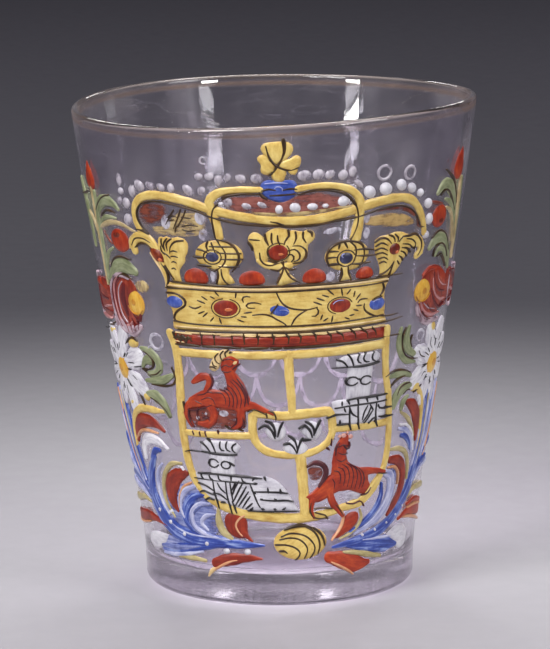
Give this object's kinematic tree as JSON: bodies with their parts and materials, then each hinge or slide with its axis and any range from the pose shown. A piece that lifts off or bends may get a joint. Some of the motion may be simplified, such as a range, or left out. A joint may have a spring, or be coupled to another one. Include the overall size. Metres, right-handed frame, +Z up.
{
  "type": "drinking glass",
  "caption": "Flared clear blown beaker with a round lip and thick floor, painted in raised enamels with a crowned shield between flower sprays.",
  "frame": {"origin": "centre of the bounding box on the plane the foot stands on, straight under the middle of the mouth", "axes": "+Z up out of the mouth; the painted shield faces -Y; +X to the right of someone who looks at the shield"},
  "size_m": [0.0896, 0.0897, 0.1094],
  "materials": {
    "clear_glass": "blown, fire-polished lip",
    "yellow_enamel": "raised, glossy",
    "pale_yellow_enamel": "thin wash",
    "ochre_enamel": "thin wash",
    "pink_enamel": "thin wash",
    "red_enamel": "raised, glossy",
    "rose_enamel": "raised, glossy",
    "blue_enamel": "raised, glossy",
    "green_enamel": "raised, satin",
    "white_enamel": "raised, glossy"
  },
  "bodies": {
    "root": {"glass_body": "clear_glass", "crown_trefoil": "yellow_enamel", "crown_orb": "blue_enamel", "crown_arches": "yellow_enamel", "crown_lining_left": "pale_yellow_enamel", "crown_lining_centre": "pink_enamel", "crown_lining_right": "ochre_enamel", "crown_leaf_left": "yellow_enamel", "crown_leaf_right": "yellow_enamel", "crown_disc_left": "yellow_enamel", "crown_disc_right": "yellow_enamel", "crown_fleuron": "yellow_enamel", "crown_cap_1": "red_enamel", "crown_cap_2": "red_enamel", "crown_cap_3": "red_enamel", "crown_cap_4": "red_enamel", "crown_circlet": "yellow_enamel", "circlet_ruby_left": "red_enamel", "circlet_ruby_right": "red_enamel", "circlet_sapphire_left": "blue_enamel", "circlet_sapphire_centre": "blue_enamel", "circlet_sapphire_right": "blue_enamel", "disc_sapphire_left": "blue_enamel", "disc_sapphire_right": "blue_enamel", "fleuron_ruby": "red_enamel", "chief_band": "red_enamel", "shield_frame": "yellow_enamel", "lion_upper": "red_enamel", "lion_lower": "red_enamel", "castle_upper": "white_enamel", "castle_lower": "white_enamel", "lily_left": "white_enamel", "lily_right": "white_enamel", "lily_lower": "white_enamel", "pendant_shell": "yellow_enamel", "left_sprig": "green_enamel", "left_bud_top": "red_enamel", "left_bud_side": "red_enamel", "left_carnation": "rose_enamel", "left_carnation_eye": "yellow_enamel", "left_daisy": "white_enamel", "left_daisy_eye": "yellow_enamel", "left_petal_upper": "red_enamel", "left_petal_lower": "red_enamel", "left_petal_inner": "red_enamel", "left_petal_bottom": "red_enamel", "left_scroll": "blue_enamel", "right_sprig": "green_enamel", "right_bud_top": "red_enamel", "right_bud_side": "red_enamel", "right_carnation": "rose_enamel", "right_carnation_eye": "yellow_enamel", "right_daisy": "white_enamel", "right_daisy_eye": "yellow_enamel", "right_petal_upper": "red_enamel", "right_petal_lower": "red_enamel", "right_petal_inner": "red_enamel", "right_petal_bottom": "red_enamel", "right_scroll": "blue_enamel", "back_net": "white_enamel"}
  },
  "joints": []
}
